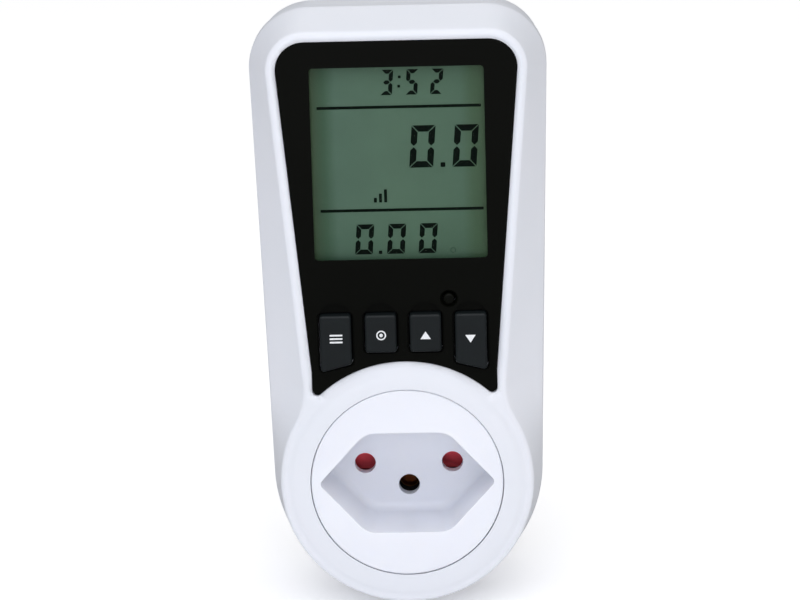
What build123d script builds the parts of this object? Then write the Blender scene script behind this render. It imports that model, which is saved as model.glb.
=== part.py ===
# Plug-in energy monitor: a meter with a display above, a three-pin socket below and a plug behind.
# Millimetres. X runs to the right as seen from the front, Y runs from the front into the wall, Z runs up.
# The origin is the middle of the plug's end face, on the line of its live and neutral pins.
# A depth is counted from the flat front plateau of the housing towards the wall.

from build123d import *
from math import atan, cos, hypot, pi, sin, sqrt, tan
import os

# Overall body
body_depth = 39.0
boss_length = 12.0
wall = 2.0
body_top = 101.4
body_bottom_radius = 29.1
body_side_slope = 0.027
body_corner_radius = 13.0
flank_depth = 12.0
flank_crease_radius = 3.0
parting_depth = 15.0
overrun = 1.0

# Display panel and the plateau round it
panel_top = 96.0
panel_foot_half = 17.55
panel_side_slope = 0.0855
panel_waist_height = 24.7
panel_corner_radius = 6.0
panel_arc_radius = 26.8
panel_tip_radius = 1.1
panel_sink = 0.15
panel_thickness = 1.85
panel_gap = 0.12
plateau_rim = 2.0
plateau_radius = 27.0
plateau_waist_radius = 14.0
plateau_edge_radius = 1.2
floor_thickness = 1.5
floor_margin = 1.0

# Socket collar, insert and its recess
collar_radius = 24.1
collar_rise = 0.6
collar_slope_width = 0.9
insert_radius = 20.6
insert_gap = 0.15
collar_tube_wall = 1.7
collar_tube_depth = 8.0
insert_wall = 1.6
insert_flange_width = 1.6
insert_flange_thickness = 1.2
recess_width = 38.0
recess_height = 22.3
recess_flat = 17.6
recess_corner_radius = 5.0
recess_point_radius = 1.2
recess_depth = 14.5
recess_draft = 2.0
recess_floor_radius = 2.0
recess_floor = 2.5
pin_spacing = 19.0
earth_drop = 5.0
socket_hole_radius = 2.3

# Plug
pin_radius = 2.0
pin_length = 19.0
pin_gap = 0.05
pin_tip_round = 1.0
pin_neck_radius = 1.5
pin_shank_radius = 2.4
pin_head_radius = 2.2
pin_head_thickness = 0.6
sleeve_length = 10.0
boss_width = 35.0
boss_height = 17.0
boss_flat = 18.0
boss_corner_radius = 2.5
boss_point_radius = 1.2
boss_edge_radius = 0.8

# Display
window_width = 36.5
window_height = 41.3
window_low = 49.15
window_corner = 0.8
window_lip = 0.45
window_rebate = 0.85
window_gap = 0.1
window_plate_thickness = 1.2
glass_side_margin = 1.05
glass_low_margin = 2.3
glass_high_margin = 2.4
glass_thickness = 1.8
holder_wall = 0.9
holder_gap = 0.1
holder_plate = 1.0
reflector_thickness = 0.4
rubber_width = 2.0
rubber_inset = 0.4
rubber_side_inset = 1.4

# Keys, as places across the panel and heights above the socket line
key_width = 6.7
key_top = 37.4
key_inner_bottom = 29.15
key_outer_bottom_high = 26.7
key_outer_bottom_low = 24.9
key_inner_place = 4.75
key_outer_place = 14.35
key_corner_radius = 0.7
key_rise = 1.3
key_crown = 0.5
key_gap = 0.25
key_flange = 0.7
key_flange_thickness = 0.9
key_travel = 0.5
key_flange_gap = 0.1
well_margin = 0.55
well_floor = 0.8
well_arch_rise = 1.9
reset_place = 9.85
reset_height = 40.4
reset_radius = 1.2
reset_rise = 0.35
reset_ring_width = 0.45
reset_ring_depth = 0.5
reset_flange = 0.9
switch_width = 6.0
switch_height = 3.4
plunger_radius = 1.7
plunger_gap = 0.1
plunger_buried = 1.0

# Display board
board_depth = 9.0
board_thickness = 1.2
board_side_margin = 1.9
board_low = 26.6
board_shoulder = 87.5
board_top = 94.0
board_neck_half = 20.6
board_post_radius = 2.0
board_post_gap = 0.3
board_screw_heights = [46.0, 83.8]
screw_gap = 0.05
board_screw_radius = 1.0
board_screw_length = 4.5
board_screw_head_radius = 1.9
board_screw_head = 1.2
blob_radius = 5.0
blob_height = 1.6
blob_height_place = 68.0
crystal_radius = 1.0
crystal_length = 6.0
crystal_place = (12.0, 60.0)

# Housing screws
housing_screw_high = (24.7, 92.6)
housing_screw_low = (15.6, -18.1)
housing_screw_radius = 1.4
housing_screw_length = 15.0
housing_screw_head_radius = 2.3
housing_screw_head = 2.0
housing_post_radius = 2.6
housing_well_radius = 2.6
housing_pillar_wall = 1.2
screw_seat_thickness = 5.0
pilot_bottom = 5.0
slot_width = 0.6
slot_depth = 0.7

# Rear housing
rear_step = 0.35
rear_taper = 1.3
rear_edge_radius = 3.0
rear_slope_start = 33.0
rear_depth_at_top = 27.0
lip_height = 2.0
lip_thickness = 1.0
lip_gap = 0.1
plate_field_width = 36.0
plate_field_height = 30.0
plate_field_sink = 0.3
plate_field_middle = 66.0

# Contact carrier, contacts, shutter
carrier_half_width = 15.2
carrier_low = -10.6
carrier_high = 13.9
carrier_back_gap = 1.2
carrier_floor = 1.0
carrier_ear_place = 16.3
carrier_ear_radius = 2.8
carrier_ear_thickness = 3.0
shutter_room = 4.8
shutter_side_gap = 0.15
shutter_face_gap = 0.2
shutter_half_width = 12.8
shutter_pad_width = 6.2
shutter_pad_low = -3.2
shutter_top = 3.2
shutter_bridge_low = -1.4
shutter_travel = 5.6
shutter_lip = 0.7
spring_radius = 1.5
spring_wire = 0.4
spring_turns = 6
spring_end_gap = 0.05
contact_inner_radius = 1.9
contact_wall = 0.6
contact_front_gap = 1.2
contact_slit = 0.8
contact_room = 0.5
contact_tail_width = 2.4
contact_tail_reach = 4.2
contact_tail_thickness = 0.6
earth_advance = 2.0
tunnel_radius = 2.2
tunnel_mouth_radius = 2.8
carrier_screw_radius = 1.1
carrier_screw_length = 8.0
carrier_screw_head_radius = 2.1
carrier_screw_head = 1.4

# Bars and wires
bar_thickness = 0.8
bar_width = 5.6
bar_top = 28.0
load_bar_width = 2.9
load_bar_edge = 0.8
tail_slot_gap = 0.1
wire_radius = 1.1
wire_bend_radius = 2.6
wire_rise = 6.5

# Power board and what it carries
battery_gap = 0.5
power_board_thickness = 1.6
power_board_half_width = 24.0
power_board_low = 30.0
power_board_high = 88.0
power_screw_places = [(20.5, 33.5), (20.5, 84.5)]
power_post_radius = 2.6
power_post_hole_depth = 3.6
power_screw_length = 5.0
mains_capacitor_size = (18.0, 13.0, 8.5)
mains_capacitor_place = (-11.0, 44.0)
storage_capacitor_radius = 4.0
storage_capacitor_length = 11.5
storage_capacitor_place = (2.0, 58.5)
varistor_radius = 4.2
varistor_thickness = 3.6
varistor_place = (6.5, 41.0)
resistor_radius = 2.0
resistor_length = 9.0
resistor_place = (15.5, 44.0)
lead_radius = 0.35
lead_rise = 2.5
shunt_width = 12.0
shunt_strip = 3.0
shunt_thickness = 0.9
shunt_rise = 5.0
shunt_place = (-8.0, 34.0)
metering_chip_size = (6.0, 10.0, 1.75)
metering_chip_place = (-14.0, 60.0)
diode_radius = 1.3
diode_length = 4.6
diode_pitch = 4.2
diode_count = 3
diode_place = (15.0, 52.3)
battery_radius = 5.4
battery_length = 17.0
battery_place = (0.0, 76.0)
battery_edge = 0.8
battery_tab_width = 3.0
battery_tab_thickness = 0.3
link_pitch = 2.54
link_count = 6
link_strip_width = 2.5
link_strip_height = 2.5
link_pin_radius = 0.32
link_place = (12.0, 66.5)

# Places worked out from the sizes above
earth_line = -earth_drop
live_place = -pin_spacing / 2
neutral_place = pin_spacing / 2
panel_back = panel_sink + panel_thickness
floor_back = panel_back + floor_thickness
recess_back = recess_depth + recess_floor
bar_depth = body_depth - wall - bar_thickness
carrier_back = bar_depth - carrier_back_gap
board_back = board_depth + board_thickness
power_board_depth = board_back + 2 * battery_radius + battery_gap
power_board_back = power_board_depth + power_board_thickness
switch_front = board_depth - switch_height
key_flange_depth = floor_back + key_flange_gap
plunger_front = key_flange_depth + key_flange_thickness
glass_width = window_width + 2 * glass_side_margin
glass_low = window_low - glass_low_margin
glass_high = window_low + window_height + glass_high_margin
glass_depth = panel_back
glass_back = glass_depth + glass_thickness
board_post_place = glass_width / 2 + holder_gap + holder_wall + board_post_gap + board_post_radius
board_screw_places = [(board_post_place, height) for height in board_screw_heights]
board_half_width = board_post_place + board_side_margin
plateau_foot_half = panel_foot_half + plateau_rim


def at_y(depth):
    """The Y of a plane at a depth behind the front plateau."""
    return depth - body_depth - boss_length


def plane_at(depth):
    return Plane.XZ.offset(-at_y(depth))


def slab(outline, near, far):
    """A flat outline made into a solid from one depth to another."""
    return extrude(plane_at(far) * outline, amount=far - near)


def post(x, z, radius, near, far):
    return slab(Pos(x, z) * Circle(radius), near, far)


def box_between(x_low, x_high, z_low, z_high):
    middle = Pos((x_low + x_high) / 2, (z_low + z_high) / 2)
    return middle * Rectangle(x_high - x_low, z_high - z_low)


def block(x_low, x_high, z_low, z_high, near, far):
    return slab(box_between(x_low, x_high, z_low, z_high), near, far)


def pocket_box(x_low, x_high, z_low, z_high, corner, near, far):
    outline = box_between(x_low, x_high, z_low, z_high)
    return slab(fillet(outline.vertices(), corner), near, far)


def both_sides(places):
    return [(side * x, z) for x, z in places for side in (-1, 1)]


def closed_wire(right_half):
    """A closed outline from its right half's segments, given from the top centre to the bottom centre."""
    left_half = [tuple((-x, z) for x, z in reversed(part)) for part in reversed(right_half)]
    edges = [Line(*part) if len(part) == 2 else ThreePointArc(*part) for part in right_half + left_half]
    return Wire(edges)


def on_circle(centre, radius, angle):
    return centre[0] + radius * cos(angle), centre[1] + radius * sin(angle)


def arc(centre, radius, first, last):
    """Start, middle and end of an arc between two angles."""
    return tuple(on_circle(centre, radius, angle) for angle in (first, (first + last) / 2, last))


def corner_centre(foot_half, slope, top, radius):
    """Centre of the rounded corner between a level top and a leaning side."""
    z = top - radius
    return foot_half + slope * z - radius / cos(atan(slope)), z


def plateau_half(inset):
    """Right side of the front plateau's keyhole outline, with its pieces' lengths from corner to collar."""
    lean = atan(panel_side_slope)
    body_lean = atan(body_side_slope)
    foot = plateau_foot_half - inset / cos(lean)
    top = panel_top + plateau_rim - inset
    corner_radius = panel_corner_radius + plateau_rim - inset
    radius = plateau_radius - inset
    waist = plateau_waist_radius + inset
    corner = corner_centre(foot, panel_side_slope, top, corner_radius)
    # The waist arc touches the leaning side and the collar circle from outside.
    offset_foot = foot + waist / cos(lean)
    reach = radius + waist
    steep = 1 + panel_side_slope ** 2
    spread = (offset_foot * panel_side_slope) ** 2 - steep * (offset_foot ** 2 - reach ** 2)
    waist_z = (sqrt(spread) - offset_foot * panel_side_slope) / steep
    waist_centre = (offset_foot + panel_side_slope * waist_z, waist_z)
    turn = atan(waist_centre[1] / waist_centre[0])
    # Where a piece ends on an arc, it ends where the body's side has the same direction.
    top_arc = arc(corner, corner_radius, pi / 2, -body_lean)
    side_arc = arc(corner, corner_radius, -body_lean, -lean)
    waist_arc = arc(waist_centre, waist, pi - lean, pi + turn)
    collar_arc = arc((0, 0), radius, turn, -body_lean)
    foot_arc = arc((0, 0), radius, -body_lean, -pi / 2)
    side = (side_arc[2], waist_arc[0])
    half = [((0, top), top_arc[0]), top_arc, side_arc, side, waist_arc, collar_arc, foot_arc]
    lengths = [corner_radius * (lean - body_lean), hypot(side[0][0] - side[1][0], side[0][1] - side[1][1])]
    lengths += [waist * (turn + lean), radius * (turn + body_lean)]
    return half, lengths


def plateau_wire(inset):
    return closed_wire(plateau_half(inset)[0])


def body_wire(inset):
    """Outline of the body: straight leaning sides between a rounded top and a round foot."""
    lean = atan(body_side_slope)
    radius = body_bottom_radius - inset
    corner_radius = body_corner_radius - inset
    top = body_top - inset
    corner = corner_centre(radius / cos(lean), body_side_slope, top, corner_radius)
    top_arc = arc(corner, corner_radius, pi / 2, -lean)
    foot_arc = arc((0, 0), radius, -lean, -pi / 2)
    # The side is split in the proportions of the plateau's, so that the flank between the two is smooth.
    high, low = top_arc[2], foot_arc[0]
    lengths = plateau_half(inset)[1]
    splits = [high]
    for count in range(1, len(lengths) + 1):
        share = sum(lengths[:count]) / sum(lengths)
        splits.append((high[0] + share * (low[0] - high[0]), high[1] + share * (low[1] - high[1])))
    return closed_wire([((0, top), top_arc[0]), top_arc, *zip(splits, splits[1:]), foot_arc])


def body_slab(inset, near, far):
    return slab(make_face(body_wire(inset)), near, far)


def lofted(near_wire, near, far_wire, far):
    sections = [plane_at(near) * make_face(near_wire), plane_at(far) * make_face(far_wire)]
    return loft(sections, ruled=True)


def panel_outline(margin):
    """Outline of the display panel, grown by a margin."""
    lean = atan(panel_side_slope)
    foot = panel_foot_half + margin / cos(lean)
    top = panel_top + margin
    radius = panel_arc_radius - margin
    corner_radius = panel_corner_radius + margin
    corner = arc(corner_centre(foot, panel_side_slope, top, corner_radius), corner_radius, pi / 2, -lean)
    side = foot + panel_side_slope * panel_waist_height
    tip = (side, sqrt(radius ** 2 - side ** 2))
    foot_arc = (tip, on_circle((0, 0), radius, (atan(tip[1] / tip[0]) + pi / 2) / 2), (0, radius))
    waist = (side, panel_waist_height)
    half = [((0, top), corner[0]), corner, (corner[2], waist), (waist, tip), foot_arc]
    outline = make_face(closed_wire(half))
    tips = [v for v in outline.vertices() if abs(v.Y - tip[1]) < panel_gap]
    return fillet(tips, panel_tip_radius)


def hexagon(width, height, flat, corner, point):
    """Long hexagon of the plug and its recess: level flats above and below, points left and right."""
    corners = [(-flat / 2, height / 2), (flat / 2, height / 2), (width / 2, 0)]
    corners += [(flat / 2, -height / 2), (-flat / 2, -height / 2), (-width / 2, 0)]
    outline = make_face(Polyline(*corners, close=True))
    ends = [v for v in outline.vertices() if abs(v.Y) < point]
    outline = fillet(ends, point)
    shoulders = [v for v in outline.vertices() if abs(v.Y) > height / 2 - point]
    return fillet(shoulders, corner)


def screw(x, z, seat, radius, length, head_radius, head, towards_front):
    """A pan head screw whose head sits on a seat and whose shank runs to the front or to the back."""
    way = -1 if towards_front else 1
    shank = post(x, z, radius, min(seat, seat + way * length), max(seat, seat + way * length))
    cap = post(x, z, head_radius, min(seat, seat - way * head), max(seat, seat - way * head))
    rim = [e for e in cap.edges() if abs(e.center().Y - at_y(seat - way * head)) < slot_width / 2]
    cap = fillet(rim, head / 3)
    top = seat - way * head
    floor = top + way * slot_depth
    cross = [(head_radius * 2 / 3, slot_width / 2), (slot_width / 2, head_radius * 2 / 3)]
    for half_x, half_z in cross:
        near, far = sorted((top - way * overrun, floor))
        cap -= block(x - half_x, x + half_x, z - half_z, z + half_z, near, far)
    return shank + cap


# Front housing

def key_outline(place, margin=0.0):
    """A key's outline; the two outer keys are longer, with a foot that slants along the panel's arc."""
    half = key_width / 2 + margin
    side = 1 if place > 0 else -1
    outer = abs(place) > (key_inner_place + key_outer_place) / 2
    low_inner = (key_outer_bottom_high if outer else key_inner_bottom) - margin
    low_outer = (key_outer_bottom_low if outer else key_inner_bottom) - margin
    points = [(place - side * half, key_top + margin), (place + side * half, key_top + margin)]
    points += [(place + side * half, low_outer), (place - side * half, low_inner)]
    outline = make_face(Polyline(*points, close=True))
    return fillet(outline.vertices(), key_corner_radius + margin)


def key_places():
    return [-key_outer_place, -key_inner_place, key_inner_place, key_outer_place]


def display_cutout():
    half = glass_width / 2 + holder_wall + 2 * holder_gap
    edge = holder_wall + 2 * holder_gap
    return box_between(-half, half, glass_low - edge, glass_high + edge)


def ring_edges(solid, depth):
    """The edges that lie in the plane at a depth."""
    return [e for e in solid.edges() if all(abs(v.Y - at_y(depth)) < panel_gap / 10 for v in e.vertices())]


def front_shell():
    outer = lofted(plateau_wire(0), 0, body_wire(0), flank_depth)
    outer += body_slab(0, flank_depth, parting_depth)
    outer = fillet(ring_edges(outer, 0), plateau_edge_radius)
    outer = fillet(ring_edges(outer, flank_depth), flank_crease_radius)
    room = lofted(plateau_wire(wall), 0, body_wire(wall), flank_depth)
    room += body_slab(wall, flank_depth, parting_depth + overrun)
    room &= Pos(0, at_y(wall + body_depth / 2), body_top / 2) * Box(body_top * 2, body_depth, body_top * 2)
    return outer - room


def collar_rise_ring():
    """The raised disc round the insert, with its sloping edge."""
    base = plane_at(0) * Circle(collar_radius + collar_slope_width)
    top = plane_at(-collar_rise) * Circle(collar_radius)
    disc = loft([base, top], ruled=True)
    return disc + post(0, 0, collar_radius, 0, wall / 2)


def front_housing():
    shell = front_shell() + collar_rise_ring()
    shell += slab(panel_outline(floor_margin), wall / 2, floor_back)
    shell += post(0, 0, insert_radius + insert_gap + collar_tube_wall, wall / 2, collar_tube_depth)
    inside = lofted(plateau_wire(wall / 2), 0, body_wire(wall / 2), flank_depth)
    inside += body_slab(wall / 2, flank_depth, parting_depth)
    for x, z in both_sides([housing_screw_high, housing_screw_low]):
        shell += post(x, z, housing_post_radius, wall / 2, parting_depth) & inside
    for x, z in both_sides(board_screw_places):
        shell += post(x, z, board_post_radius, wall / 2, board_depth) & inside
    shell -= post(0, 0, insert_radius + insert_flange_width + insert_gap, collar_tube_depth, body_depth)
    shell -= slab(panel_outline(panel_gap), -overrun, panel_back)
    shell -= slab(display_cutout(), 0, floor_back + overrun)
    for place in key_places():
        shell -= slab(key_outline(place, key_gap), 0, floor_back + overrun)
    shell -= post(reset_place, reset_height, reset_radius + key_gap, 0, floor_back + overrun)
    shell -= post(0, 0, insert_radius + insert_gap, -collar_rise - overrun, collar_tube_depth + overrun)
    for x, z in both_sides([housing_screw_high, housing_screw_low]):
        shell -= post(x, z, housing_screw_radius + screw_gap, pilot_bottom, parting_depth + overrun)
    for x, z in both_sides(board_screw_places):
        pilot = board_depth - board_screw_length
        shell -= post(x, z, board_screw_radius + screw_gap, pilot, board_depth + overrun)
    return shell


# Display panel and display

def key_well(place):
    """Shallow well round a key, with an arched scoop above the key's top edge."""
    outline = key_outline(place, well_margin)
    half = key_width / 2
    crest = key_top + well_margin + well_arch_rise
    arch = make_face([
        ThreePointArc((place - half, key_top), (place, crest), (place + half, key_top)),
        Line((place + half, key_top), (place - half, key_top)),
    ])
    return slab(outline + arch, panel_sink - overrun, panel_sink + well_floor)


def display_panel():
    plate = slab(panel_outline(0), panel_sink, panel_back)
    rim = [e for e in plate.edges() if abs(e.center().Y - at_y(panel_sink)) < panel_gap]
    plate = fillet(rim, panel_sink)
    opening = box_between(-window_width / 2, window_width / 2, window_low, window_low + window_height)
    plate -= slab(fillet(opening.vertices(), window_corner), 0, panel_back + overrun)
    rebate = window_rebate + window_gap
    plate -= block(-window_width / 2 - rebate, window_width / 2 + rebate, window_low - rebate,
                   window_low + window_height + rebate, panel_sink + window_lip, panel_back + overrun)
    for place in key_places():
        plate -= key_well(place)
        plate -= slab(key_outline(place, key_gap), 0, panel_back + overrun)
    ring = reset_radius + key_gap + reset_ring_width
    centre = Pos(reset_place, reset_height)
    cone = [plane_at(panel_sink) * (centre * Circle(ring)),
            plane_at(panel_sink + reset_ring_depth) * (centre * Circle(ring - reset_ring_width))]
    plate -= loft(cone, ruled=True)
    plate -= post(reset_place, reset_height, reset_radius + key_gap, 0, panel_back + overrun)
    return plate


def display_window():
    half = window_width / 2 + window_rebate
    near = panel_sink + window_lip
    return block(-half, half, window_low - window_rebate, window_low + window_height + window_rebate,
                 near, near + window_plate_thickness)


def lcd_glass():
    cell = block(-glass_width / 2, glass_width / 2, glass_low, glass_high, glass_depth, glass_back)
    ledge = rubber_inset + rubber_width
    step = glass_thickness / 2
    near, far = glass_back - step, glass_back + overrun
    cell -= block(-glass_width, glass_width, glass_low - overrun, glass_low + ledge, near, far)
    cell -= block(-glass_width, glass_width, glass_high - ledge, glass_high + overrun, near, far)
    return cell


def lcd_holder():
    """Frame that carries the display glass on its board, with a back plate between the contact rubbers."""
    inner = glass_width / 2 + holder_gap
    outer = inner + holder_wall
    low, high = glass_low - holder_gap, glass_high + holder_gap
    frame = block(-outer, outer, low - holder_wall, high + holder_wall, glass_depth, board_depth)
    frame -= block(-inner, inner, low, high, glass_depth - overrun, board_depth + overrun)
    ledge = rubber_inset + rubber_width + 2 * holder_gap
    plate_near = glass_back + reflector_thickness
    frame += block(-inner, inner, glass_low + ledge, glass_high - ledge,
                   plate_near, plate_near + holder_plate)
    return frame


def lcd_reflector():
    half = glass_width / 2
    ledge = rubber_inset + rubber_width + 2 * holder_gap
    return block(-half, half, glass_low + ledge, glass_high - ledge,
                 glass_back, glass_back + reflector_thickness)


def contact_rubbers():
    """Two conducting rubber strips that join the display glass to the board."""
    half = glass_width / 2 - rubber_side_inset
    near = glass_back - glass_thickness / 2
    low = glass_low + rubber_inset
    high = glass_high - rubber_inset
    strips = [block(-half, half, low, low + rubber_width, near, board_depth),
              block(-half, half, high - rubber_width, high, near, board_depth)]
    return Compound(strips)


def display_board():
    plate = block(-board_half_width, board_half_width, board_low, board_shoulder, board_depth, board_back)
    plate += block(-board_neck_half, board_neck_half, board_shoulder - overrun, board_top,
                   board_depth, board_back)
    for x, z in both_sides(board_screw_places):
        plate -= post(x, z, board_screw_radius + screw_gap, board_depth - overrun, board_back + overrun)
    return plate


def board_screws():
    return Compound([
        screw(x, z, board_back, board_screw_radius, board_screw_length,
              board_screw_head_radius, board_screw_head, True)
        for x, z in both_sides(board_screw_places)])


def controller_blob():
    """Drop of black resin over the controller, on the back of the display board."""
    profile = make_face([
        Line((0, 0), (blob_radius, 0)),
        ThreePointArc((blob_radius, 0), on_blob(1), (0, blob_height)),
        Line((0, blob_height), (0, 0)),
    ])
    drop = revolve(Plane.XZ * profile, axis=Axis.Z)
    return Pos(-blob_radius, at_y(board_back), blob_height_place) * Rot(-90, 0, 0) * drop


def on_blob(sign):
    """The point half way round the drop's domed skin."""
    dome = (blob_radius ** 2 + blob_height ** 2) / (2 * blob_height)
    half_angle = atan(blob_radius / (dome - blob_height)) / 2
    return sign * dome * sin(half_angle), dome * cos(half_angle) - (dome - blob_height)


def quartz_crystal():
    can = Cylinder(crystal_radius, crystal_length, align=(Align.CENTER, Align.CENTER, Align.MIN))
    can = fillet(can.edges(), crystal_radius / 4)
    x, z = crystal_place
    return Pos(x, at_y(board_back + crystal_radius), z) * Rot(0, 90, 0) * can


# Keys and switches

def cap_edges(cap, depth):
    return [e for e in cap.edges() if abs(e.center().Y - at_y(depth)) < panel_gap]


def key_cap(place):
    cap = slab(key_outline(place), -key_rise, key_flange_depth + overrun / 2)
    cap = fillet(cap_edges(cap, -key_rise), key_crown)
    cap += slab(key_outline(place, key_flange), key_flange_depth, plunger_front)
    return cap


def reset_cap():
    cap = post(reset_place, reset_height, reset_radius, -reset_rise, key_flange_depth + overrun / 2)
    cap = fillet(cap_edges(cap, -reset_rise), reset_radius / 3)
    cap += post(reset_place, reset_height, reset_radius + reset_flange, key_flange_depth, plunger_front)
    return cap


def switch_places():
    """The five key switches: one behind each key, at its middle, and one behind the reset button."""
    middle = (key_top + key_inner_bottom) / 2
    return [(place, middle) for place in key_places()] + [(reset_place, reset_switch_height())]


def reset_switch_height():
    """The reset switch is set up a little, so that its body clears the key switches below it."""
    return (key_top + key_inner_bottom) / 2 + switch_width + wall / 2


def switch_bodies():
    bodies = []
    for x, z in switch_places():
        half = switch_width / 2
        body = pocket_box(x - half, x + half, z - half, z + half,
                          key_corner_radius, switch_front, board_depth)
        hole = plunger_radius + plunger_gap
        bottom = switch_front + plunger_buried + key_travel + plunger_gap
        body -= post(x, z, hole, switch_front - overrun, bottom)
        bodies.append(body)
    return Compound(bodies)


def plunger(place):
    x, z = place
    return post(x, z, plunger_radius, plunger_front, switch_front + plunger_buried)


# Rear housing

def slope_angle():
    return atan((body_depth - rear_depth_at_top) / (body_top - rear_slope_start))


def slope_cutter(inset):
    """Everything behind the leaning back of the display part."""
    start = rear_slope_start - inset * tan(slope_angle() / 2)
    far = body_depth * 2
    drop = (body_depth - rear_depth_at_top) / (body_top - rear_slope_start)
    top = body_top * 2
    near_at_top = body_depth - inset - drop * (top - start)
    corners = [(at_y(body_depth - inset), start), (at_y(near_at_top), top),
               (at_y(far), top), (at_y(far), start)]
    outline = make_face(Polyline(*corners, close=True))
    return extrude(Plane.YZ * outline, amount=body_top, both=True)


def rear_form():
    form = lofted(body_wire(rear_step), parting_depth, body_wire(rear_step + rear_taper), body_depth)
    form -= slope_cutter(0)
    return fillet([e for e in form.edges() if lies_behind(e, parting_depth + wall)], rear_edge_radius)


def lies_behind(edge, depth):
    """True for the edges round the back faces, false for those that run from front to back."""
    return min(v.Y for v in edge.vertices()) > at_y(depth)


def boss():
    outline = hexagon(boss_width, boss_height, boss_flat, boss_corner_radius, boss_point_radius)
    solid = slab(outline, body_depth - wall / 2, body_depth + boss_length)
    end = [e for e in solid.edges() if abs(e.center().Y - at_y(body_depth + boss_length)) < panel_gap]
    return fillet(end, boss_edge_radius)


def pin_places():
    return [(live_place, 0), (neutral_place, 0), (0, earth_line)]


def plate_field():
    """Shallow bare field on the leaning back."""
    lean = slope_angle()
    depth = body_depth - (plate_field_middle - rear_slope_start) * tan(lean)
    field = Box(plate_field_width, plate_field_sink * 2, plate_field_height)
    field = fillet(field.edges().filter_by(Axis.Y), key_corner_radius * 2)
    return Pos(0, at_y(depth), plate_field_middle) * Rot(lean * 180 / pi, 0, 0) * field


def rear_housing():
    form = rear_form()
    room = lofted(body_wire(rear_step + wall), parting_depth - overrun,
                  body_wire(rear_step + rear_taper + wall), body_depth)
    room -= slope_cutter(wall)
    room -= Pos(0, at_y(body_depth - wall) + body_depth / 2, 0) * Box(body_top * 3, body_depth, body_top * 3)
    shell = form - room
    lip_outer = wall + lip_gap
    lip = body_slab(lip_outer, parting_depth - lip_height, parting_depth + lip_thickness)
    lip -= body_slab(lip_outer + lip_thickness, parting_depth - lip_height - overrun,
                     parting_depth + lip_thickness + overrun)
    for x, z in both_sides([housing_screw_high, housing_screw_low]):
        lip -= post(x, z, housing_post_radius + lip_gap, 0, parting_depth)
    shell += lip
    pillars = [post(x, z, housing_well_radius + housing_pillar_wall, parting_depth, body_depth)
               for x, z in both_sides([housing_screw_high, housing_screw_low])]
    pillars += [post(x, z, power_post_radius, power_board_back, body_depth)
                for x, z in both_sides(power_screw_places)]
    for pillar in pillars:
        shell += pillar & form
    shell += boss()
    for x, z in both_sides([housing_screw_high, housing_screw_low]):
        shell -= post(x, z, housing_screw_radius + lip_gap, parting_depth - overrun, body_depth)
        shell -= post(x, z, housing_well_radius, parting_depth + screw_seat_thickness, body_depth + overrun)
    for x, z in both_sides(power_screw_places):
        shell -= post(x, z, board_screw_radius + screw_gap, power_board_back - overrun,
                      power_board_back + power_post_hole_depth)
    for x, z in pin_places():
        shell -= post(x, z, pin_shank_radius + pin_gap, body_depth - wall - overrun,
                      body_depth + boss_length + overrun)
    shell -= plate_field()
    return shell


def housing_screws():
    seat = parting_depth + screw_seat_thickness
    return Compound([
        screw(x, z, seat, housing_screw_radius, housing_screw_length - wall, housing_screw_head_radius,
              housing_screw_head, True)
        for x, z in both_sides([housing_screw_high, housing_screw_low])])


# Socket insert, shutter and contacts

def recess_shape(margin, depth, draft):
    outline = hexagon(recess_width + 2 * margin, recess_height + 2 * margin, recess_flat + margin,
                      recess_corner_radius, recess_point_radius + margin)
    return extrude(plane_at(-collar_rise) * outline, amount=-(depth + collar_rise), taper=draft)


def socket_insert():
    front = -collar_rise
    face = post(0, 0, insert_radius, front, collar_tube_depth + insert_flange_thickness)
    face -= post(0, 0, insert_radius - insert_wall, front + wall, body_depth)
    flange = post(0, 0, insert_radius + insert_flange_width, collar_tube_depth,
                  collar_tube_depth + insert_flange_thickness)
    face += flange - post(0, 0, insert_radius - insert_wall, 0, body_depth)
    rim = [e for e in face.edges() if abs(e.center().Y - at_y(front)) < panel_gap]
    face = fillet(rim, insert_wall / 4)
    cup = recess_shape(insert_wall, recess_back, recess_draft)
    cup &= post(0, 0, insert_radius, front + wall / 2, recess_back)
    face += cup
    for side in (-1, 1):
        face += post(0, side * carrier_ear_place, carrier_ear_radius, front + wall / 2, recess_back)
    hollow = recess_shape(0, recess_depth, recess_draft)
    floor_edges = [e for e in hollow.edges() if abs(e.center().Y - at_y(recess_depth)) < panel_gap]
    hollow = fillet(floor_edges, recess_floor_radius)
    face -= hollow
    for x, z in pin_places():
        face -= post(x, z, socket_hole_radius, recess_depth - overrun, recess_back + overrun)
    for side in (-1, 1):
        pilot = carrier_screw_radius + screw_gap
        bottom = recess_back - carrier_screw_length + carrier_ear_thickness
        face -= post(0, side * carrier_ear_place, pilot, bottom, body_depth)
    return face


def shutter():
    """Red slider with two ramps: pushed together by both pins, they lift it clear of the holes."""
    near = recess_back + shutter_face_gap
    far = recess_back + shutter_room - shutter_face_gap
    bar = block(-shutter_half_width, shutter_half_width, shutter_bridge_low, shutter_top, near, far)
    for place in (live_place, neutral_place):
        side = 1 if place > 0 else -1
        low, high = sorted((side * shutter_half_width, side * (shutter_half_width - shutter_pad_width)))
        bar += block(low, high, shutter_pad_low, shutter_top, near, far)
    # The ramps cut away the front of the pads from below.
    below = shutter_pad_low - overrun
    corners = [(at_y(near), shutter_top - shutter_lip), (at_y(far - shutter_lip), shutter_pad_low),
               (at_y(far - shutter_lip), below), (at_y(near - overrun), below),
               (at_y(near - overrun), shutter_top - shutter_lip)]
    wedge = extrude(Plane.YZ * make_face(Polyline(*corners, close=True)), amount=body_depth, both=True)
    inner = shutter_half_width - shutter_pad_width
    wedge -= block(-inner, inner, -body_depth, body_depth, 0, body_depth)
    return bar - wedge


def spring_ends():
    return shutter_top + spring_end_gap, carrier_high - wall / 2 - spring_end_gap


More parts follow.
